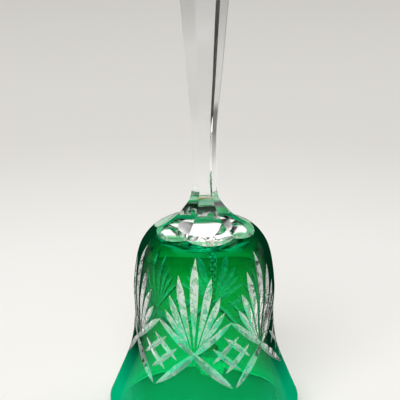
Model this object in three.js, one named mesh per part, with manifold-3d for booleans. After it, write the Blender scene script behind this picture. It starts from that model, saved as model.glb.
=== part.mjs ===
// A cut crystal hand bell: a clear bowl under a green overlay, a six-sided clear handle, and a crystal
// clapper on a fine brass chain. Millimetres, +Z up, the middle of the mouth at the origin.
import * as THREE from "three";
import { mergeVertices } from "three/addons/utils/BufferGeometryUtils.js";
import Module from "manifold-3d";

const wasm = await Module();
wasm.setup();

// Driving dimensions
const MOUTH_RADIUS = 47.5;
const BELL_HEIGHT = 228;
const WAIST_RADIUS = 34.3;
const WALL = 3.6; // glass and overlay together, at the waist
const RIM_WALL = 3.2;
const OVERLAY = 0.5; // thickness of the green layer
const OVERLAY_FOOT = 1.2; // the green layer stops this far above the ground rim
const GAP = 0.3; // between pieces that touch
const CEILING = 92; // top of the hollow
const CEILING_FLAT = 10; // radius of its level middle
const NECK = 104; // where the handle is joined to the bowl
const SIDES = 6; // flat panels on the handle, each running out into a flute on the shoulder
const PANEL_AZIMUTH = 8; // degrees from -Y towards +X, the middle of one panel
const ROUND = 48; // segments of a large turned surface
const BOWL_STEPS = 16; // steps along the bowl's profile, inside and out
const SMALL_ROUND = 20; // segments of the hanger plate and the clapper cap
const WIRE_SIDES = 6;
const LINK_STEPS = 12; // steps round a link

// Hanger, chain and clapper
const HANGER_X = 3.8; // the hanger plate is cemented a little off the middle
const PLATE_RADIUS = 5;
const PLATE_THICKNESS = 0.8;
const CEMENT_THICKNESS = 0.7;
const WIRE = 0.6; // diameter of the chain's wire
const LINK_BEND = 1.3; // radius of a link's round ends, at the middle of the wire
const LINK_STRAIGHT = 0.3; // length of its straight sides
const LINK_PLAY = 0.06; // clearance between one link's wire and the next
const LINKS = 22;
const EYE_DROP = 3.2; // from the hanger plate to the middle of the wire at the eye's bottom
const CAP_RADIUS = 3.7; // brass cap over the clapper ball
const CAP_HEIGHT = 2.6;
const CAP_EDGE = 0.3; // width of the cap's lower edge
const BALL_RADIUS = 8;
const BALL_SUNK = 0.5; // how far the ball's top reaches up under the cap

const rad = THREE.MathUtils.degToRad;
const panelCorner = 1 / Math.cos(Math.PI / SIDES); // corner radius of a regular section of apothem 1

// Profiles, as points of radius and height
const bowlOutside = new THREE.SplineCurve(
  [
    [MOUTH_RADIUS, 7],
    [42.9, 18],
    [36.5, 35],
    [WAIST_RADIUS, 52],
    [34.6, 68],
    [32.4, 84.1],
    [28.4, 92.6],
    [21.2, 99.3],
    [15, 105],
  ].map(([r, z]) => new THREE.Vector2(r, z)),
).getPoints(BOWL_STEPS);

const bowlInside = new THREE.SplineCurve(
  [
    [MOUTH_RADIUS - RIM_WALL, 0],
    [MOUTH_RADIUS - RIM_WALL - 0.6, 7],
    [38.9, 18],
    [32.7, 35],
    [WAIST_RADIUS - WALL, 52],
    [30.9, 68],
    [27.6, 82],
    [20.5, 89.6],
    [CEILING_FLAT, CEILING],
  ].map(([r, z]) => new THREE.Vector2(r, z)),
).getPoints(BOWL_STEPS);
bowlInside.push(new THREE.Vector2(0, CEILING));

// Apothem of the six-sided section, from the edge of the shoulder's flutes to the handle's crown
const FLUTE_ROWS = 6; // the rows up to the neck are the shoulder's flutes
const panels = [
  [30, 94.6],
  [25.8, 95.9],
  [21.4, 97.3],
  [17.3, 99],
  [13.6, 101.8],
  [11.3, NECK],
  [8.4, 107.8],
  [6.3, 111.6],
  [5.35, 116],
  [5.1, 124],
  [5.1, 136],
  [5.6, 152],
  [7.1, 170],
  [8.5, 189],
  [9.8, 207],
  [10.4, 216],
  [9.9, 219.5],
];
const CROWN_TABLE = 5.6; // apothem of the flat top

function turned(points, segments = ROUND, start = 0) {
  const geometry = new THREE.LatheGeometry(points, segments, start);
  return geometry.rotateX(Math.PI / 2);
}

function solid(geometry) {
  const bare = new THREE.BufferGeometry();
  bare.setAttribute("position", geometry.getAttribute("position"));
  bare.setIndex(geometry.index);
  const merged = mergeVertices(bare, 1e-4);
  const vertProperties = merged.getAttribute("position").array;
  const triVerts = new Uint32Array(merged.index.array);
  return new wasm.Manifold(new wasm.Mesh({ numProp: 3, vertProperties, triVerts }));
}

function surface(made) {
  const { vertProperties, triVerts } = made.getMesh();
  const geometry = new THREE.BufferGeometry();
  geometry.setAttribute("position", new THREE.BufferAttribute(vertProperties, 3));
  geometry.setIndex(new THREE.BufferAttribute(triVerts, 1));
  geometry.computeVertexNormals();
  return geometry;
}

const finishes = {
  crystal: { color: 0xeef2f0, roughness: 0.03, metalness: 0, transparent: true, opacity: 0.35 },
  greenOverlay: { color: 0x0a9e4c, roughness: 0.05, metalness: 0, transparent: true, opacity: 0.6 },
  brass: { color: 0xb8923f, roughness: 0.3, metalness: 1 },
  cement: { color: 0xe4e0d2, roughness: 0.6, metalness: 0 },
};

const bell = new THREE.Group();

function place(name, geometry, finish, parent = bell) {
  const piece = new THREE.Mesh(geometry, new THREE.MeshStandardMaterial(finishes[finish]));
  piece.name = name;
  parent.add(piece);
  return piece;
}

// Moves an outline inwards, for the surface that lies under a layer of the given thickness
function inset(points, depth) {
  return points.map((p, i) => {
    const along = points[Math.min(i + 1, points.length - 1)].clone().sub(points[Math.max(i - 1, 0)]);
    along.normalize();
    return new THREE.Vector2(Math.max(p.x - along.y * depth, 0), p.y + along.x * depth);
  });
}

// The six-sided bar that the handle and the shoulder's flutes are ground to
function panelled(rows) {
  const points = rows.map(([apothem, z]) => new THREE.Vector2(apothem * panelCorner, z));
  points.unshift(new THREE.Vector2(0, rows[0][1]));
  points.push(new THREE.Vector2(0, rows[rows.length - 1][1]));
  return turned(points, SIDES, rad(PANEL_AZIMUTH) + Math.PI / SIDES);
}

// Wide over the bowl, so that only the shoulder above it is ground away
const fluteTool = solid(
  panelled([
    [MOUTH_RADIUS * 1.3, -1],
    [MOUTH_RADIUS * 1.3, CEILING - 2],
    [MOUTH_RADIUS - 3.5, CEILING + 0.6],
    ...panels.slice(0, FLUTE_ROWS),
  ]),
);

// Bowl: clear crystal, hollow, with a flat ground rim
{
  const outside = inset(bowlOutside, OVERLAY + GAP);
  const core = turned([
    ...bowlInside.slice().reverse(),
    new THREE.Vector2(MOUTH_RADIUS - 0.5, 0),
    new THREE.Vector2(MOUTH_RADIUS - 0.1, 0.4),
    new THREE.Vector2(MOUTH_RADIUS, OVERLAY_FOOT - GAP),
    new THREE.Vector2(outside[0].x, OVERLAY_FOOT - GAP + 0.1),
    ...outside,
    new THREE.Vector2(0, outside[outside.length - 1].y),
  ]);
  place("bell_core", surface(solid(core).intersect(fluteTool)), "crystal");
}

// Overlay: the thin green layer outside the bowl, ground away above the flutes
{
  const under = inset(bowlOutside, OVERLAY);
  const skin = turned([
    new THREE.Vector2(under[0].x, OVERLAY_FOOT),
    new THREE.Vector2(MOUTH_RADIUS, OVERLAY_FOOT),
    ...bowlOutside,
    ...under.slice().reverse(),
    new THREE.Vector2(under[0].x, OVERLAY_FOOT),
  ]);
  place("green_casing", surface(solid(skin).intersect(fluteTool)), "greenOverlay");
}

// Handle: a clear six-sided bar, slim above the shoulder and widening to a faceted crown
{
  const seat = [panels[FLUTE_ROWS - 1][0], NECK + GAP];
  const crown = [CROWN_TABLE, BELL_HEIGHT];
  place("handle", panelled([seat, ...panels.slice(FLUTE_ROWS), crown]), "crystal");
}

// Hanger: a brass plate cemented under the ceiling, with a wire eye standing down from it
const plateTop = CEILING - GAP - CEMENT_THICKNESS - GAP;
{
  const cement = turned(
    [
      [0, plateTop + GAP],
      [PLATE_RADIUS - 1, plateTop + GAP],
      [PLATE_RADIUS - 0.6, plateTop + GAP + CEMENT_THICKNESS],
      [0, plateTop + GAP + CEMENT_THICKNESS],
    ].map(([r, z]) => new THREE.Vector2(r, z)),
    SMALL_ROUND,
  );
  place("hanger_cement", cement, "cement").position.x = HANGER_X;
  const plate = turned(
    [
      [0, plateTop - PLATE_THICKNESS],
      [PLATE_RADIUS - 0.4, plateTop - PLATE_THICKNESS],
      [PLATE_RADIUS, plateTop - PLATE_THICKNESS + 0.3],
      [PLATE_RADIUS, plateTop],
      [0, plateTop],
    ].map(([r, z]) => new THREE.Vector2(r, z)),
    SMALL_ROUND,
  );
  place("hanger_plate", plate, "brass").position.x = HANGER_X;
}

// A length of wire along a path
function wire(path, steps) {
  const section = new THREE.Shape(
    Array.from({ length: WIRE_SIDES }, (_, i) => {
      const turn = (i * 2 * Math.PI) / WIRE_SIDES;
      return new THREE.Vector2((Math.cos(turn) * WIRE) / 2, (Math.sin(turn) * WIRE) / 2);
    }),
  );
  return new THREE.ExtrudeGeometry(section, { steps, extrudePath: path, bevelEnabled: false });
}

const eyeBottom = plateTop - PLATE_THICKNESS - EYE_DROP;
{
  const legs = plateTop - PLATE_THICKNESS - GAP;
  const bend = new THREE.CatmullRomCurve3([
    new THREE.Vector3(-LINK_BEND, 0, legs),
    new THREE.Vector3(-LINK_BEND, 0, eyeBottom + LINK_BEND),
    new THREE.Vector3(-LINK_BEND * 0.72, 0, eyeBottom + LINK_BEND * 0.3),
    new THREE.Vector3(0, 0, eyeBottom),
    new THREE.Vector3(LINK_BEND * 0.72, 0, eyeBottom + LINK_BEND * 0.3),
    new THREE.Vector3(LINK_BEND, 0, eyeBottom + LINK_BEND),
    new THREE.Vector3(LINK_BEND, 0, legs),
  ]);
  place("hanger_eye", wire(bend, LINK_STEPS), "brass").position.x = HANGER_X;
}

// One chain link, upright in the XZ plane, its middle at the origin
function link() {
  const ring = new THREE.TorusGeometry(LINK_BEND, WIRE / 2, WIRE_SIDES, LINK_STEPS).rotateX(Math.PI / 2);
  const at = ring.getAttribute("position");
  for (let i = 0; i < at.count; i++) {
    const side = Math.abs(at.getZ(i)) < 1e-3 ? 0 : Math.sign(at.getZ(i));
    at.setZ(i, at.getZ(i) + (side * LINK_STRAIGHT) / 2);
  }
  return ring;
}

// The chain hangs straight down; every second link is turned a quarter turn
const halfLink = LINK_BEND + LINK_STRAIGHT / 2;
const pitch = 2 * halfLink - WIRE - LINK_PLAY;
const firstLink = eyeBottom + WIRE + LINK_PLAY - halfLink;
for (let n = 1; n <= LINKS; n++) {
  const piece = place(`chain_link_${String(n).padStart(2, "0")}`, link(), "brass");
  piece.rotation.z = n % 2 ? Math.PI / 2 : 0;
  piece.position.set(HANGER_X, 0, firstLink - (n - 1) * pitch);
}

// Clapper: a faceted crystal ball under a brass cap, with a wire eye on the last link
const clapperHinge = firstLink - (LINKS - 1) * pitch - halfLink;
{
  const clapper = new THREE.Group();
  clapper.position.set(HANGER_X, 0, clapperHinge);
  bell.add(clapper);
  const eyeMiddle = WIRE + LINK_PLAY - LINK_BEND;
  const eye = new THREE.TorusGeometry(LINK_BEND, WIRE / 2, WIRE_SIDES, LINK_STEPS).rotateX(Math.PI / 2);
  place("clapper_eye", eye.rotateZ(Math.PI / 2), "brass", clapper).position.z = eyeMiddle;
  const capTop = eyeMiddle - LINK_BEND - WIRE / 2 - GAP;
  const capFoot = capTop - CAP_HEIGHT;
  const cap = turned(
    [
      [0, capFoot + 0.9],
      [CAP_RADIUS * 0.7, capFoot + 0.5],
      [CAP_RADIUS - CAP_EDGE, capFoot],
      [CAP_RADIUS, capFoot + 0.1],
      [CAP_RADIUS * 0.86, capFoot + 1],
      [CAP_RADIUS * 0.4, capTop - 0.5],
      [CAP_RADIUS * 0.3, capTop],
      [0, capTop],
    ].map(([r, z]) => new THREE.Vector2(r, z)),
    SMALL_ROUND,
  );
  place("clapper_cap", cap, "brass", clapper);
  const ball = new THREE.SphereGeometry(BALL_RADIUS, 24, 14).rotateX(Math.PI / 2);
  const ballMiddle = capFoot - BALL_RADIUS + BALL_SUNK;
  place("clapper_ball", ball, "crystal", clapper).position.z = ballMiddle;
}

export default bell;
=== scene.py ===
"""A cut crystal hand bell: a blown bowl cased in green and cut through to clear, a six-sided handle,
and a crystal clapper that hangs inside on a fine brass chain. Metres, +Z up, the mouth on z = 0."""

import math

import bmesh
import bpy
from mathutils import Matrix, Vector


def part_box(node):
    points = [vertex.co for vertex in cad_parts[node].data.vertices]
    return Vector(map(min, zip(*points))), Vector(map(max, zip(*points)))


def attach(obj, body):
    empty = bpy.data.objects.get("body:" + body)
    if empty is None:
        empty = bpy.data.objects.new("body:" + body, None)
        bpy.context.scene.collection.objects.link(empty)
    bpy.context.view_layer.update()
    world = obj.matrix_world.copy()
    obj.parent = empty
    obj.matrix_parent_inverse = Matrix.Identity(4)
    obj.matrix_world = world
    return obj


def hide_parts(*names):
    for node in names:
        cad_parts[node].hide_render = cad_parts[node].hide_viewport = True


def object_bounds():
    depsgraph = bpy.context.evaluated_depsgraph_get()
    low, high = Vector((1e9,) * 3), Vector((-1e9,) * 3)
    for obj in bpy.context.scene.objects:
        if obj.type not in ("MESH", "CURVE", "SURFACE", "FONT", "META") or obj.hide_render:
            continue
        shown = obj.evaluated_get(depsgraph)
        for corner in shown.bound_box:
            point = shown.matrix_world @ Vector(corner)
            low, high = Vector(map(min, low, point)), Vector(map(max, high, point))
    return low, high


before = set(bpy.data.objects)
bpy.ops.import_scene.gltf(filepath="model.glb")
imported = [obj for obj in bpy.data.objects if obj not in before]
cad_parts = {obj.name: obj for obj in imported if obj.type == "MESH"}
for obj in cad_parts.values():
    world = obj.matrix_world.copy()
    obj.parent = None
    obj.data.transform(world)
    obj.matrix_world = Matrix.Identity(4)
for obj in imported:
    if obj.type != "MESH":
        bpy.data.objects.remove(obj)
cad_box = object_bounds()

# ---------------------------------------------------------------------------------------------
# The table and the daylight: a pale matt tabletop that the bell stands on, lit from above and
# behind. The room is dark high up to both sides, which gives clear glass its edges.

TABLE_RADIUS = 9.0
TABLE_SIDES = 96
# The tabletop's tones are painted light: a painted pool of light near the bell, dimmer further off, and a
# painted shadow.
TABLE_PAINTED_LIT = (0.83, 0.815, 0.79)
TABLE_PAINTED_DIM = (0.70, 0.685, 0.66)
TABLE_PAINTED_SHADOW = (0.06, 0.058, 0.055)


class Node:
    """One output of a node. Arithmetic on it adds Math nodes to the same tree."""

    def __init__(self, tree, socket=None):
        self.tree = tree
        self.socket = socket

    def make(self, kind, settings=None, inputs=None, output=0):
        """Adds any node: its settings first, then the values or links of its sockets."""
        node = self.tree.nodes.new(kind)
        for name, value in (settings or {}).items():
            if name == "stops":
                while len(node.color_ramp.elements) < len(value):
                    node.color_ramp.elements.new(0.5)
                for element, (place, colour) in zip(node.color_ramp.elements, value):
                    element.position = place
                    element.color = (*colour, 1.0)
            else:
                setattr(node, name, value)
        for name, value in (inputs or {}).items():
            if isinstance(value, Node):
                self.tree.links.new(value.socket, node.inputs[name])
            else:
                node.inputs[name].default_value = value
        return Node(self.tree, node.outputs[output]) if node.outputs else None

    def math(self, operation, first, second):
        return self.make("ShaderNodeMath", {"operation": operation}, {0: first, 1: second})

    def __add__(self, other):
        return self.math("ADD", self, other)

    def __radd__(self, other):
        return self.math("ADD", other, self)

    def __sub__(self, other):
        return self.math("SUBTRACT", self, other)

    def __rsub__(self, other):
        return self.math("SUBTRACT", other, self)

    def __mul__(self, other):
        return self.math("MULTIPLY", self, other)

    def __rmul__(self, other):
        return self.math("MULTIPLY", other, self)

    def __truediv__(self, other):
        return self.math("DIVIDE", self, other)

    def __pow__(self, other):
        return self.math("POWER", self, other)


def new_material(name, constants, varying, second=None):
    """A Principled material: constants are set on its sockets, and varying is given the tree and
    the point on the object and returns what changes over the surface, by socket name. Where it
    also returns a Mix, that much of a second Principled shader with its own constants shows."""
    material = bpy.data.materials.new(name)
    material.use_nodes = True
    tree = Node(material.node_tree)
    point = tree.make("ShaderNodeTexCoord", output="Object")
    changes = varying(tree, point)
    first = tree.tree.nodes["Principled BSDF"]
    for socket, value in constants.items():
        first.inputs[socket].default_value = value
    if second is not None:
        over = tree.make("ShaderNodeBsdfPrincipled", None, second)
        over_colour = changes.pop("Second Color")
        tree.tree.links.new(over_colour.socket, over.socket.node.inputs["Base Color"])
        both = tree.make(
            "ShaderNodeMixShader", None, {0: changes.pop("Mix"), 1: Node(tree.tree, first.outputs[0]), 2: over}
        )
        tree.tree.links.new(both.socket, tree.tree.nodes["Material Output"].inputs["Surface"])
    for socket, value in changes.items():
        tree.tree.links.new(value.socket, first.inputs[socket])
    return material


def new_piece(name, vertices, faces, materials, slots=None):
    """A mesh object at the origin, with its faces pointing out."""
    mesh = bpy.data.meshes.new(name)
    mesh.from_pydata([tuple(v) for v in vertices], [], faces)
    for material in materials:
        mesh.materials.append(material)
    if slots:
        mesh.polygons.foreach_set("material_index", slots)
    work = bmesh.new()
    work.from_mesh(mesh)
    bmesh.ops.recalc_face_normals(work, faces=work.faces)
    work.to_mesh(mesh)
    work.free()
    piece = bpy.data.objects.new(name, mesh)
    bpy.context.scene.collection.objects.link(piece)
    return piece


def table_painted_light(tree, point):
    """Painted light and shadow: pale round the bell, duller further off and pale again far out, with a painted
    soft shadow lying behind it to the left.
    """
    away = tree.make("ShaderNodeVectorMath", {"operation": "LENGTH"}, {0: point}, "Value")
    # Painted light: bright near the bell, dimmer further off, bright again far out.
    paint = tree.make(
        "ShaderNodeValToRGB",
        {"stops": [(0.026, TABLE_PAINTED_LIT), (0.053, TABLE_PAINTED_DIM), (0.14, TABLE_PAINTED_DIM), (0.18, TABLE_PAINTED_LIT)]},
        {0: away / TABLE_RADIUS},
    )
    across = tree.make("ShaderNodeSeparateXYZ", None, {0: point}, "X")
    back = tree.make("ShaderNodeSeparateXYZ", None, {0: point}, "Y")
    soft = {"interpolation_type": "SMOOTHSTEP"}
    # Painted shadow: a dark patch behind the bell to the left.
    left = tree.make("ShaderNodeMapRange", soft, {0: -0.18 * back - across, 1: 0.14, 2: 0.30})
    behind = tree.make("ShaderNodeMapRange", soft, {0: back, 1: 0.22, 2: 0.45})
    nearer = tree.make("ShaderNodeMapRange", soft, {0: away, 1: 1.35, 2: 1.0})
    shade = left * behind * nearer
    mixed = tree.make("ShaderNodeMix", {"data_type": "RGBA"}, {0: shade, 6: paint, 7: (*TABLE_PAINTED_SHADOW, 1)}, 2)
    return {"Base Color": mixed}


corners = [2 * math.pi * i / TABLE_SIDES for i in range(TABLE_SIDES)]
table = new_piece(
    "tabletop",
    [(math.cos(a) * TABLE_RADIUS, math.sin(a) * TABLE_RADIUS, 0) for a in corners],
    [list(range(len(corners)))],
    [new_material("pale_tabletop", {"Roughness": 0.9, "Specular IOR Level": 0.0}, table_painted_light)],
)

world = bpy.data.worlds.new("daylight")
bpy.context.scene.world = world
world.use_nodes = True
world.node_tree.nodes.clear()
room = Node(world.node_tree)
toward = room.make("ShaderNodeTexCoord", output="Generated")
back = room.make("ShaderNodeSeparateXYZ", None, {0: toward}, "Y")
sky = room.make(
    "ShaderNodeValToRGB",
    {"stops": [(0.0, (0.60, 0.595, 0.58)), (0.35, (0.30, 0.295, 0.29)), (0.6, (0.40, 0.395, 0.385)),
               (0.72, (1.2, 1.185, 1.16))]},
    {0: back * 0.5 + 0.5},
)
across = room.make("ShaderNodeSeparateXYZ", None, {0: toward}, "X")
up = room.make("ShaderNodeSeparateXYZ", None, {0: toward}, "Z")
soft = {"interpolation_type": "SMOOTHSTEP"}
beside = room.make("ShaderNodeMath", {"operation": "ABSOLUTE"}, {0: across})
beside = room.make("ShaderNodeMapRange", soft, {0: beside, 1: 0.30, 2: 0.44})
above = room.make("ShaderNodeMapRange", soft, {0: up, 1: 0.15, 2: 0.30})
lit = room.make("ShaderNodeBackground", None, {"Color": sky, "Strength": 1.0 - beside * above * 0.97})
room.make("ShaderNodeOutputWorld", None, {"Surface": lit})


def soft_light(name, place, aim, size, power, mirrored):
    """A large soft lamp, which the glass mirrors or not."""
    data = bpy.data.lights.new(name, "AREA")
    data.shape = "RECTANGLE"
    data.size, data.size_y = size
    data.energy = power
    lamp = bpy.data.objects.new(name, data)
    lamp.location = place
    lamp.rotation_euler = (Vector(aim) - Vector(place)).to_track_quat("-Z", "Y").to_euler()
    lamp.visible_glossy = mirrored
    bpy.context.scene.collection.objects.link(lamp)


soft_light("overhead_softbox", (0.2, 0.7, 2.0), (0.2, 0.5, 0), (2.8, 1.6), 28, True)
soft_light("front_fill", (-0.4, -1.2, 1.0), (0, 0, 0.05), (1.4, 0.9), 17, False)

camera_data = bpy.data.cameras.new("camera")
camera_data.lens = 112.0
camera_data.sensor_width = 36.0
camera = bpy.data.objects.new("camera", camera_data)
camera.location = (0, -0.5664, 0.3063)
camera.rotation_euler = (math.radians(90 - 19.06), 0, math.radians(0.207))
bpy.context.scene.collection.objects.link(camera)
bpy.context.scene.camera = camera
bpy.context.scene.view_settings.view_transform = "Standard"
bpy.context.scene.cycles.max_bounces = 32
bpy.context.scene.cycles.transmission_bounces = 32
bpy.context.scene.cycles.glossy_bounces = 16

# ---------------------------------------------------------------------------------------------
# The crystal: bowl, green casing and handle are one piece of glass. The bowl is blown and turned,
# its handle and shoulder are ground to six flat panels, and mitre wheels cut the decoration
# through the thin green casing into the clear glass under it.

MM = 0.001
CEILING = 92 * MM
TOP = cad_box[1].z
BELL_SEGMENTS = 240
SHARP_EDGE = math.radians(9)  # two facets that meet at more than this show an edge
CRYSTAL = {"IOR": 1.53, "Transmission Weight": 1.0}
# Near the rim the green is lifted partly as painted light, making up for the dim table seen through the flare.
CASING_TINT_AND_PAINTED_LIGHT = (  # height, and what light keeps on one way through the casing there
    (0.0, (0.02, 0.98, 0.56)), (22 * MM, (0.02, 0.92, 0.44)), (38 * MM, (0.02, 0.74, 0.30)),
    (78 * MM, (0.01, 0.56, 0.15)),
    (92 * MM, (0.0, 0.42, 0.15)), (101 * MM, (0.0, 0.20, 0.08)),
)
CASING_TOP = 104 * MM
# Painted edge shade: share of the dark mix, and the painted colour there, near black higher up.
PAINTED_EDGE_SHADE = [(0.16, (0.0, 0.46, 0.20)), (0.38, (0.0, 0.035, 0.012))]  # share of that, colour there


def smooth_curve(points, steps):
    """Catmull-Rom through the points, with that many steps between each two."""
    out = []
    for i in range(len(points) - 1):
        p0 = Vector(points[max(i - 1, 0)])
        p1 = Vector(points[i])
        p2 = Vector(points[i + 1])
        p3 = Vector(points[min(i + 2, len(points) - 1)])
        v1 = (p2 - p0) / 2
        v2 = (p3 - p1) / 2
        for k in range(steps):
            t = k / steps
            out.append(
                (2 * p1 - 2 * p2 + v1 + v2) * t**3 + (3 * p2 - 3 * p1 - 2 * v1 - v2) * t**2 + v1 * t + p1
            )
    out.append(Vector(points[-1]))
    return out


def turned(name, outline, segments, materials, first=0.0, slots=None, centre=(0, 0)):
    """A closed turned solid; the outline of (radius, height) starts and ends on the axis."""
    vertices, rings, faces, face_slots = [], [], [], []
    for radius, height in outline:
        if radius < 1e-7:
            rings.append([len(vertices)] * segments)
            vertices.append((*centre, height))
            continue
        rings.append([len(vertices) + i for i in range(segments)])
        for i in range(segments):
            a = first + 2 * math.pi * i / segments
            across, ahead = radius * math.sin(a), radius * math.cos(a)
            vertices.append((centre[0] + across, centre[1] - ahead, height))
    for row, (low, high) in enumerate(zip(rings, rings[1:])):
        for i in range(segments):
            j = (i + 1) % segments
            faces.append(list(dict.fromkeys((low[i], low[j], high[j], high[i]))))
            face_slots.append(slots[row] if slots else 0)
    return new_piece(name, vertices, faces, materials, face_slots)


def casing_glass(tree, point):
    """Green that is thicker towards the shoulder and in soft upright streaks, as it was gathered, lifted near
    the rim partly as painted light, and deepest where it is seen edge-on, partly from the longer path through
    the casing and mostly a painted shade for the dark reflections there."""
    stretched = tree.make("ShaderNodeMapping", None, {"Vector": point, "Scale": (1, 1, 0.35)})
    streak = tree.make("ShaderNodeTexNoise", None, {"Vector": stretched, "Scale": 30.0, "Detail": 2.0})
    height = tree.make("ShaderNodeSeparateXYZ", None, {0: point}, "Z")
    share = (height + (streak - 0.5) * 20 * MM) / CASING_TOP
    stops = [(z / CASING_TOP, tuple(c**2 for c in keeps)) for z, keeps in CASING_TINT_AND_PAINTED_LIGHT]
    colour = tree.make("ShaderNodeValToRGB", {"stops": stops}, {0: share})
    # Painted shade: seen edge-on, the casing is mixed into a painted dark green to near black.
    facing = tree.make("ShaderNodeLayerWeight", None, {"Blend": 0.5}, "Facing")
    painted_edge_share = tree.make("ShaderNodeClamp", None, {0: (facing**2.0) * 3.0})
    # solid is the painted dark edge colour, darker higher up.
    solid = tree.make("ShaderNodeValToRGB", {"stops": PAINTED_EDGE_SHADE}, {0: height / CASING_TOP})
    return {"Base Color": colour, "Mix": painted_edge_share, "Second Color": solid}


def polished_glass(tree, point):
    """Clear crystal with the faint waviness of hand polishing."""
    wave = tree.make("ShaderNodeTexNoise", None, {"Vector": point, "Scale": 90.0, "Detail": 1.0})
    bump = tree.make("ShaderNodeBump", None, {"Height": wave, "Strength": 0.03, "Distance": 0.002}, "Normal")
    tint = tree.make(
        "ShaderNodeValToRGB", {"stops": [(0.2, (0.97, 0.98, 0.975)), (0.8, (0.99, 0.995, 0.99))]}, {0: wave}
    )
    return {"Base Color": tint, "Normal": bump}


def wheel_cut_glass(tree, point):
    """A cut face: clear, with streaks of the white satin left by the wheel, most in the deep upper
    leaves, and painted nearly black where it is seen edge-on, a painted shade for dark reflections."""
    grain = tree.make("ShaderNodeTexNoise", None, {"Vector": point, "Scale": 400.0, "Detail": 3.0})
    patch = tree.make("ShaderNodeTexNoise", None, {"Vector": point, "Scale": 60.0, "Detail": 1.0})
    bump = tree.make("ShaderNodeBump", None, {"Height": grain, "Strength": 0.6, "Distance": 0.0004}, "Normal")
    tint = tree.make(
        "ShaderNodeValToRGB", {"stops": [(0.3, (0.96, 0.98, 0.97)), (0.7, (0.995, 1.0, 0.995))]}, {0: patch}
    )
    height = tree.make("ShaderNodeSeparateXYZ", None, {0: point}, "Z")
    upper = tree.make("ShaderNodeMapRange", None, {0: height, 1: 56 * MM, 2: 74 * MM, 3: 0.42, 4: 0.80})
    satin = upper * tree.make("ShaderNodeClamp", None, {0: (patch + grain * 1.4 - 1.2) * 7.0 + 0.6})
    facing = tree.make("ShaderNodeLayerWeight", None, {"Blend": 0.5}, "Facing")
    # Painted shade: nearly black where the cut is seen edge-on.
    painted_edge_share = tree.make(
        "ShaderNodeMapRange", {"interpolation_type": "SMOOTHSTEP"}, {0: facing, 1: 0.60, 2: 0.82, 4: 0.9}
    )
    white = tree.make(
        "ShaderNodeValToRGB", {"stops": [(0.3, (0.90, 0.95, 0.92)), (0.7, (1.0, 1.0, 1.0))]}, {0: grain}
    )
    # white carries the wheel's satin and the painted near-black edge.
    white = tree.make(
        "ShaderNodeMix", {"data_type": "RGBA"}, {0: painted_edge_share, 6: white, 7: (0.004, 0.012, 0.008, 1)}, 2
    )
    # satin here also carries the share of the painted dark edge.
    satin = tree.math("MAXIMUM", satin, painted_edge_share)
    return {
        "Base Color": tint, "Roughness": patch * 0.2 + 0.02, "Normal": bump,
        "Mix": satin, "Second Color": white,
    }


# The second shader is the casing's painted dark edge.
casing = new_material(
    "green_casing_glass", {**CRYSTAL, "Roughness": 0.0, "Specular Tint": (0.05, 0.45, 0.22, 1)}, casing_glass,
    {"Roughness": 0.35, "Specular IOR Level": 0.0},
)
clear = new_material("polished_crystal", {**CRYSTAL, "Roughness": 0.0}, polished_glass)
# The second shader shows the wheel's white satin and the painted near-black edges.
SATIN_AND_PAINTED_DARK = {"IOR": 1.3, "Transmission Weight": 0.5, "Roughness": 0.5}
cut = new_material("wheel_cut_crystal", CRYSTAL, wheel_cut_glass, SATIN_AND_PAINTED_DARK)
glass = [casing, clear, cut]
CASING, CLEAR, CUT = range(3)

outside = smooth_curve(
    [(r * MM, z * MM) for r, z in (
        (47.5, 7), (42.9, 18), (36.5, 35), (34.3, 52), (34.6, 68), (32.4, 84.1), (28.4, 92.6),
        (21.2, 99.3), (15, 105),
    )],
    10,
)
inside = smooth_curve(
    [(r * MM, z * MM) for r, z in (
        (44.2, 1.1), (43.7, 7), (38.9, 18), (32.7, 35), (30.7, 52), (30.9, 68), (27.6, 82),
        (20.5, 89.6), (10, 92),
    )],
    8,
)
rim_edge = [
    Vector((r * MM, z * MM))
    for r, z in ((44.5, 0.4), (44.8, 0.1), (45.1, 0), (46.5, 0), (46.9, 0.15), (47.3, 0.6))
]
outline = (
    [Vector((0, CEILING))]
    + inside[::-1]
    + rim_edge
    + outside
    + [Vector((outside[-1].x, TOP * 1.02)), Vector((0, TOP * 1.02))]
)
clear_rows = 1 + len(inside) + 1
slots = [CLEAR] * clear_rows + [CASING] * (len(outline) - 1 - clear_rows)
crystal = turned("crystal_bell", outline, BELL_SEGMENTS, glass, slots=slots)

PANEL_AZIMUTH = math.radians(8)
SIXTH = math.pi / 3
panels = smooth_curve(
    [(a * MM, z * MM) for a, z in (
        (30, 94.6), (25.8, 95.9), (21.4, 97.3), (17.3, 99), (13.6, 101.8), (11.3, 104),
        (8.4, 107.8), (6.3, 111.6), (5.35, 116), (5.1, 124), (5.1, 136), (5.6, 152), (7.1, 170),
        (8.5, 189), (9.8, 207), (10.4, 216),
    )],
    5,
)
bar = (
    [Vector((0, -1 * MM)), Vector((62 * MM, -1 * MM)), Vector((62 * MM, 90 * MM)), Vector((44 * MM, 92.6 * MM))]
    + panels
    + [Vector((9.9 * MM, 219.5 * MM)), Vector((5.6 * MM, TOP)), Vector((0, TOP))]
)
bar = [Vector((apothem / math.cos(SIXTH / 2), z)) for apothem, z in bar]
grinding = turned(
    "six_sided_grinding", bar, 6, glass, PANEL_AZIMUTH + SIXTH / 2, [CLEAR] * (len(bar) - 1)
)


def wall_at(height):
    """Radius and outward slope of the bowl's outside at that height."""
    for low, high in zip(outside, outside[1:]):
        if low.y <= height <= high.y:
            share = (height - low.y) / (high.y - low.y)
            return low.x + (high.x - low.x) * share, (high.x - low.x) / (high.y - low.y)
    return outside[0].x, 0.0


WHEEL_CLEARANCE = 0.5 * MM  # each cutter stands this far out of the glass
CUT_END = 0.05 * MM  # and is this much shallower than its V, so that both ends run out


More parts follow.
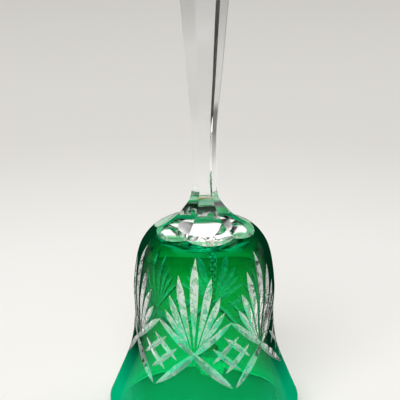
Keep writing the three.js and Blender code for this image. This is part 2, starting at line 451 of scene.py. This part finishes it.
def mitre(start, end, half_width, widest, steep, stem, steps=18):
    """One wheel cut between two (azimuth, height) points: a V, deepest where it is widest. A stem
    over 1 makes both ends more slender."""
    vertices, faces, path = [], [], []
    for k in range(steps + 1):
        t = k / steps
        azimuth = math.radians(start[0] + (end[0] - start[0]) * t)
        height = (start[1] + (end[1] - start[1]) * t) * MM
        radius, slope = wall_at(height)
        out = Vector((math.sin(azimuth), -math.cos(azimuth), 0))
        path.append((t, out * radius + Vector((0, 0, height)), (out - Vector((0, 0, slope))).normalized()))
    for k, (t, place, normal) in enumerate(path):
        along = (path[min(k + 1, steps)][1] - path[max(k - 1, 0)][1]).normalized()
        across = normal.cross(along).normalized()
        share = t / widest if t < widest else (1 - t) / (1 - widest)
        depth = half_width * MM * steep * math.sin(share * math.pi / 2) ** stem - CUT_END
        reach = (depth + WHEEL_CLEARANCE) / steep
        top = place + normal * WHEEL_CLEARANCE
        vertices += [place - normal * depth, top + across * reach, top - across * reach]
    for k in range(steps):
        a, b = 3 * k, 3 * k + 3
        for i, j in ((0, 1), (1, 2), (2, 0)):
            faces.append((a + i, a + j, b + j, b + i))
    faces.append((0, 1, 2))
    faces.append((3 * steps, 3 * steps + 1, 3 * steps + 2))
    return vertices, faces


# One repeat of the decoration. Azimuths are degrees from the middle of the fan, heights are in
# millimetres from the rim. Each cut: start, end, half width, where it is widest, steepness of its
# V, and how slender its ends are.
LEFT, RIGHT = Vector((0, 44.6)), Vector((60, 44.6))
TIP, FOOT = Vector((30, 60.3)), Vector((30, 27.6))
cuts = []


def along(start, end, first, last, *shape):
    """A cut on the line from start to end, over that share of it."""
    cuts.append((start.lerp(end, first), start.lerp(end, last), *shape))


UPPER_ARM = (-0.12, 1.04, 1.75, 0.45, 0.5, 0.7)
LOWER_ARM = (-0.16, 0.98, 2.1, 0.5, 0.5, 0.7)
DIAMOND_STROKE = (0.12, 0.88, 1.5, 0.5, 0.55, 0.8)
LEAF = (0.74, 0.5, 1.15)
for side in (LEFT, RIGHT):
    along(side, TIP, *UPPER_ARM)
for side in (LEFT, RIGHT):
    along(side, FOOT, *LOWER_ARM)
for share in (0.36, 0.68):
    along(LEFT.lerp(FOOT, share), TIP.lerp(RIGHT, share), *DIAMOND_STROKE)
    along(LEFT.lerp(TIP, share), FOOT.lerp(RIGHT, share), *DIAMOND_STROKE)
fan_foot = Vector((0, 46.5))
for azimuth, height, half_width in (
    (0, 92.2, 2.2), (14, 84.3, 2.0), (21, 74.3, 1.8), (24.5, 66.5, 1.6), (29, 60.5, 1.3),
):
    for side in (-1, 1) if azimuth else (1,):
        cuts.append((
            fan_foot + Vector((side * 0.12 * azimuth, 0)), Vector((side * azimuth, height)),
            half_width, *LEAF,
        ))

tools = [grinding]
FAN_AZIMUTH = -8
for number, (start, end, *shape) in enumerate(cuts):
    vertices, faces = [], []
    for repeat in range(6):
        turn = Vector((FAN_AZIMUTH + 60 * repeat, 0))
        more, sides = mitre(start + turn, end + turn, *shape)
        faces += [tuple(i + len(vertices) for i in side) for side in sides]
        vertices += more
    tools.append(new_piece(f"mitre_wheel_{number:02d}", vertices, faces, glass, [CUT] * len(faces)))

for tool in tools:
    step = crystal.modifiers.new(tool.name, "BOOLEAN")
    step.operation = "INTERSECT" if tool is grinding else "DIFFERENCE"
    step.solver = "MANIFOLD"
    step.object = tool
bpy.context.view_layer.update()
ready = bpy.data.meshes.new_from_object(crystal.evaluated_get(bpy.context.evaluated_depsgraph_get()))
crystal.modifiers.clear()
crystal.data = ready
for tool in tools:
    bpy.data.objects.remove(tool)
ready.shade_smooth()
ready.set_sharp_from_angle(angle=SHARP_EDGE)
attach(crystal, "bell")
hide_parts("bell_core", "green_casing", "handle")

# ---------------------------------------------------------------------------------------------
# The hanger: a small brass disc with a turned edge, cemented under the ceiling a little off the
# middle, and a wire eye whose two legs are soldered to it.


def brass_finish(tree, point):
    """Drawn brass, a little browner and duller in patches."""
    patch = tree.make("ShaderNodeTexNoise", None, {"Vector": point, "Scale": 350.0, "Detail": 3.0})
    fine = tree.make("ShaderNodeTexNoise", None, {"Vector": point, "Scale": 2500.0, "Detail": 2.0})
    colour = tree.make(
        "ShaderNodeValToRGB", {"stops": [(0.35, (0.50, 0.32, 0.10)), (0.62, (0.83, 0.61, 0.26))]}, {0: patch}
    )
    bump = tree.make("ShaderNodeBump", None, {"Height": fine, "Strength": 0.2, "Distance": 0.0001}, "Normal")
    return {"Base Color": colour, "Roughness": 0.34 - patch * 0.2, "Normal": bump}


brass = new_material("drawn_brass", {"Metallic": 1.0}, brass_finish)


def gilt_finish(tree, point):
    """The disc's thin gilding over the brass, paler where it is thicker."""
    cloud = tree.make("ShaderNodeTexNoise", None, {"Vector": point, "Scale": 500.0, "Detail": 2.0})
    colour = tree.make(
        "ShaderNodeValToRGB", {"stops": [(0.3, (0.86, 0.52, 0.10)), (0.7, (1.0, 0.74, 0.24))]}, {0: cloud}
    )
    return {**brass_finish(tree, point), "Base Color": colour}


def cement_finish(tree, point):
    """Set cement: pale, cloudy, with small bubbles."""
    bubbles = tree.make("ShaderNodeTexVoronoi", None, {"Vector": point, "Scale": 1600.0}, "Distance")
    cloud = tree.make("ShaderNodeTexNoise", None, {"Vector": point, "Scale": 500.0, "Detail": 2.0})
    colour = tree.make(
        "ShaderNodeValToRGB", {"stops": [(0.3, (0.70, 0.66, 0.55)), (0.7, (0.86, 0.84, 0.76))]}, {0: cloud}
    )
    bump = tree.make("ShaderNodeBump", None, {"Height": bubbles, "Strength": 0.3, "Distance": 0.0001}, "Normal")
    return {"Base Color": colour, "Roughness": cloud * 0.3 + 0.35, "Normal": bump}


low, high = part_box("hanger_plate")
hanger = (low + high) / 2
plate_radius = (high.x - low.x) / 2
edge = 0.35 * MM
outline = [
    (0, low.z + 0.25 * MM), (plate_radius * 0.62, low.z + 0.25 * MM),
    (plate_radius * 0.68, low.z + 0.05 * MM),
]
for k in range(9):
    a = math.pi * k / 8 - math.pi / 2
    middle = (low.z + high.z) / 2
    outline.append((plate_radius - edge + edge * math.cos(a), middle + (high.z - low.z) / 2 * math.sin(a)))
outline += [(plate_radius * 0.8, high.z - 0.12 * MM), (0, high.z - 0.12 * MM)]
plate = turned(
    "brass_hanger_disc", outline, 64, [new_material("gilt_brass", {"Metallic": 0.6}, gilt_finish)],
    centre=hanger.xy,
)
plate.data.shade_smooth()
plate.data.set_sharp_from_angle(angle=math.radians(35))
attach(plate, "bell")
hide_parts("hanger_plate")

low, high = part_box("hanger_cement")
cement_radius = (high.x - low.x) / 2 * 0.84
outline = [(0, low.z), (cement_radius * 0.86, low.z)]
outline += [
    (cement_radius * (0.86 + 0.12 * math.sin(math.pi * k / 6)), low.z + (high.z - low.z) * k / 6)
    for k in range(1, 6)
]
outline += [(cement_radius * 0.84, high.z), (0, high.z)]
cement = turned(
    "cement_bed", outline, 48, [new_material("clear_cement", {}, cement_finish)], centre=hanger.xy
)
for vertex in cement.data.vertices:
    out = vertex.co.xy - hanger.xy
    turn = math.atan2(out.y, out.x)
    spread = 0.985 + 0.015 * math.sin(5 * turn) * math.cos(2 * turn + 1)
    vertex.co.xy = hanger.xy + out * spread
cement.data.shade_smooth()
cement.data.set_sharp_from_angle(angle=math.radians(35))
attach(cement, "bell")
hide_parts("hanger_cement")

low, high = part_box("hanger_eye")
WIRE = 0.6 * MM
half_gap = (high.x - low.x) / 2 - WIRE / 2
foot = low.z + WIRE / 2
path = [Vector((-half_gap, 0, high.z)), Vector((-half_gap, 0, foot + 2 * half_gap))]
path += [
    Vector((-half_gap * math.cos(a), 0, foot + half_gap - half_gap * math.sin(a)))
    for a in (math.pi * k / 16 for k in range(17))
]
path += [Vector((half_gap, 0, foot + 2 * half_gap)), Vector((half_gap, 0, high.z))]
vertices, faces = [], []
ROUND_WIRE = 16
for k, place in enumerate(path):
    along = (path[min(k + 1, len(path) - 1)] - path[max(k - 1, 0)]).normalized()
    across = along.cross(Vector((0, 1, 0))).normalized()
    flare = 1.35 if k in (0, len(path) - 1) else 1.0
    for i in range(ROUND_WIRE):
        a = 2 * math.pi * i / ROUND_WIRE
        reach = across * math.cos(a) * (flare if k else 1.35) + Vector((0, 1, 0)) * math.sin(a) * flare
        offset = reach * WIRE / 2
        vertices.append(Vector((hanger.x, hanger.y, 0)) + place + offset)
for k in range(len(path) - 1):
    for i in range(ROUND_WIRE):
        j = (i + 1) % ROUND_WIRE
        here, after = k * ROUND_WIRE, (k + 1) * ROUND_WIRE
        faces.append((here + i, here + j, after + j, after + i))
faces.append(list(range(ROUND_WIRE)))
faces.append([(len(path) - 1) * ROUND_WIRE + i for i in range(ROUND_WIRE)])
eye = new_piece("hanger_wire_eye", vertices, faces, [brass])
eye.data.shade_smooth()
eye.data.set_sharp_from_angle(angle=math.radians(50))
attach(eye, "bell")
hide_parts("hanger_eye")

# ---------------------------------------------------------------------------------------------
# The chain: small oval links of drawn brass wire, each bent round, closed and soldered on one
# side, and each a quarter turn from the next.

link_tree = bpy.data.node_groups.new("wire_link", "GeometryNodeTree")
LINK_INPUTS = {
    "Bend Radius": 1.3 * MM,
    "Straight Length": 0.3 * MM,
    "Wire Radius": WIRE / 2,
    "Solder Swell": 0.10,
    "Across": 0.0,
    "Height": 0.0,
    "Quarter Turn": 0.0,
}
link_tree.interface.new_socket("Geometry", in_out="OUTPUT", socket_type="NodeSocketGeometry")
link_inputs = {
    name: link_tree.interface.new_socket(name, in_out="INPUT", socket_type="NodeSocketFloat").identifier
    for name in LINK_INPUTS
}
build = Node(link_tree)
given = build.tree.nodes.new("NodeGroupInput")
size = {name: Node(link_tree, given.outputs[name]) for name in LINK_INPUTS}
ring = build.make("GeometryNodeCurvePrimitiveCircle", None, {"Resolution": 40, "Radius": size["Bend Radius"]})
place = build.make("GeometryNodeInputPosition")
up = build.make("ShaderNodeSeparateXYZ", None, {0: place}, "Y")
side = build.make("ShaderNodeMath", {"operation": "SIGN"}, {0: up})
lengthen = build.make("ShaderNodeCombineXYZ", None, {"Y": side * size["Straight Length"] * 0.5})
oval = build.make("GeometryNodeSetPosition", None, {"Geometry": ring, "Offset": lengthen})
right = build.make("ShaderNodeSeparateXYZ", None, {0: place}, "X") / size["Bend Radius"]
near_joint = build.math("MAXIMUM", right, 0.0) ** 24.0
swell = near_joint * size["Solder Swell"] + 1.0
oval = build.make("GeometryNodeSetCurveRadius", None, {"Curve": oval, "Radius": swell})
section = build.make(
    "GeometryNodeCurvePrimitiveCircle", None, {"Resolution": 12, "Radius": size["Wire Radius"]}
)
bent = build.make("GeometryNodeCurveToMesh", None, {"Curve": oval, "Profile Curve": section})
stand = build.make("ShaderNodeCombineXYZ", None, {"X": math.pi / 2, "Z": size["Quarter Turn"] * (math.pi / 2)})
hang = build.make("ShaderNodeCombineXYZ", None, {"X": size["Across"], "Z": size["Height"]})
put = build.make("GeometryNodeTransform", None, {"Geometry": bent, "Rotation": stand, "Translation": hang})
smooth = build.make("GeometryNodeSetShadeSmooth", None, {"Geometry": put})
real = build.make("GeometryNodeRealizeInstances", None, {"Geometry": smooth})
done = build.make("GeometryNodeSetMaterial", None, {"Geometry": real, "Material": brass})
build.make("NodeGroupOutput", None, {"Geometry": done})


def wire_link(name, sizes):
    """One link as a plain mesh, from the wire_link tree with those sizes."""
    piece = new_piece(name, [(0, 0, 0)], [], [])
    bend = piece.modifiers.new("wire_link", "NODES")
    bend.node_group = link_tree
    for label, value in {**LINK_INPUTS, **sizes}.items():
        bend[link_inputs[label]] = value
    bpy.context.view_layer.update()
    mesh = bpy.data.meshes.new_from_object(piece.evaluated_get(bpy.context.evaluated_depsgraph_get()))
    piece.modifiers.clear()
    piece.data = mesh
    return piece


chain = sorted(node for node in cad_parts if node.startswith("chain_link_"))
for number, node in enumerate(chain, 1):
    low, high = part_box(node)
    link = wire_link(f"brass_link_{number:02d}", {
        "Across": (low.x + high.x) / 2, "Height": (low.z + high.z) / 2, "Quarter Turn": float(number % 2),
    })
    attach(link, f"link_{number:02d}")
    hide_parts(node)

# ---------------------------------------------------------------------------------------------
# The clapper: a ball of cut crystal, ground all over to small flat facets, under a turned brass
# cap whose wire eye hangs on the last link.

low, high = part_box("clapper_eye")
loop = wire_link("clapper_wire_eye", {
    "Bend Radius": (high.z - low.z) / 2 - WIRE / 2, "Straight Length": 0.0, "Solder Swell": 0.0,
    "Across": (low.x + high.x) / 2, "Height": (low.z + high.z) / 2, "Quarter Turn": 1.0,
})
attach(loop, "clapper")
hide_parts("clapper_eye")

low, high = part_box("clapper_cap")
middle = (low + high) / 2
reach = (high.x - low.x) / 2
tall = high.z - low.z
outline = [(0, low.z + 0.36 * tall), (0.66 * reach, low.z + 0.22 * tall), (0.9 * reach, low.z)]
outline += [
    (reach * (0.96 + 0.04 * math.sin(math.pi * k / 5)), low.z + tall * (0.01 + 0.05 * k)) for k in range(6)
]
outline += [
    (reach * r, low.z + tall * h) for r, h in (
        (0.90, 0.30), (0.91, 0.36), (0.86, 0.42), (0.76, 0.56), (0.62, 0.68), (0.46, 0.78), (0.42, 0.80),
        (0.43, 0.85), (0.38, 0.90), (0.32, 0.97), (0.27, 1.0), (0, 1.0),
    )
]
cap = turned("clapper_brass_cap", outline, 64, [brass], centre=middle.xy)
cap.data.shade_smooth()
cap.data.set_sharp_from_angle(angle=math.radians(40))
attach(cap, "clapper")
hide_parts("clapper_cap")

low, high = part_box("clapper_ball")
middle = (low + high) / 2
radius = (high.z - low.z) / 2
shape = bmesh.new()
FACET_ROWS = (  # latitude in degrees, and how many corners stand there
    (90, 1), (64, 6), (40, 12), (13, 12), (-13, 12), (-40, 12), (-64, 6), (-90, 1),
)
for row, (latitude, count) in enumerate(FACET_ROWS):
    for i in range(count):
        a = 2 * math.pi * (i + 0.5 * (row % 2)) / count
        b = math.radians(latitude)
        out = Vector((math.cos(a) * math.cos(b), math.sin(a) * math.cos(b), math.sin(b)))
        shape.verts.new(middle + out * radius)
bmesh.ops.convex_hull(shape, input=shape.verts)
bmesh.ops.dissolve_limit(shape, angle_limit=math.radians(1), verts=shape.verts, edges=shape.edges)
bmesh.ops.bevel(shape, geom=shape.edges[:], offset=0.12 * MM, segments=1, affect="EDGES")
bmesh.ops.recalc_face_normals(shape, faces=shape.faces)
ball_mesh = bpy.data.meshes.new("clapper_crystal_ball")
shape.to_mesh(ball_mesh)
shape.free()
ball_mesh.materials.append(clear)
ball = bpy.data.objects.new("clapper_crystal_ball", ball_mesh)
bpy.context.scene.collection.objects.link(ball)
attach(ball, "clapper")
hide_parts("clapper_ball")
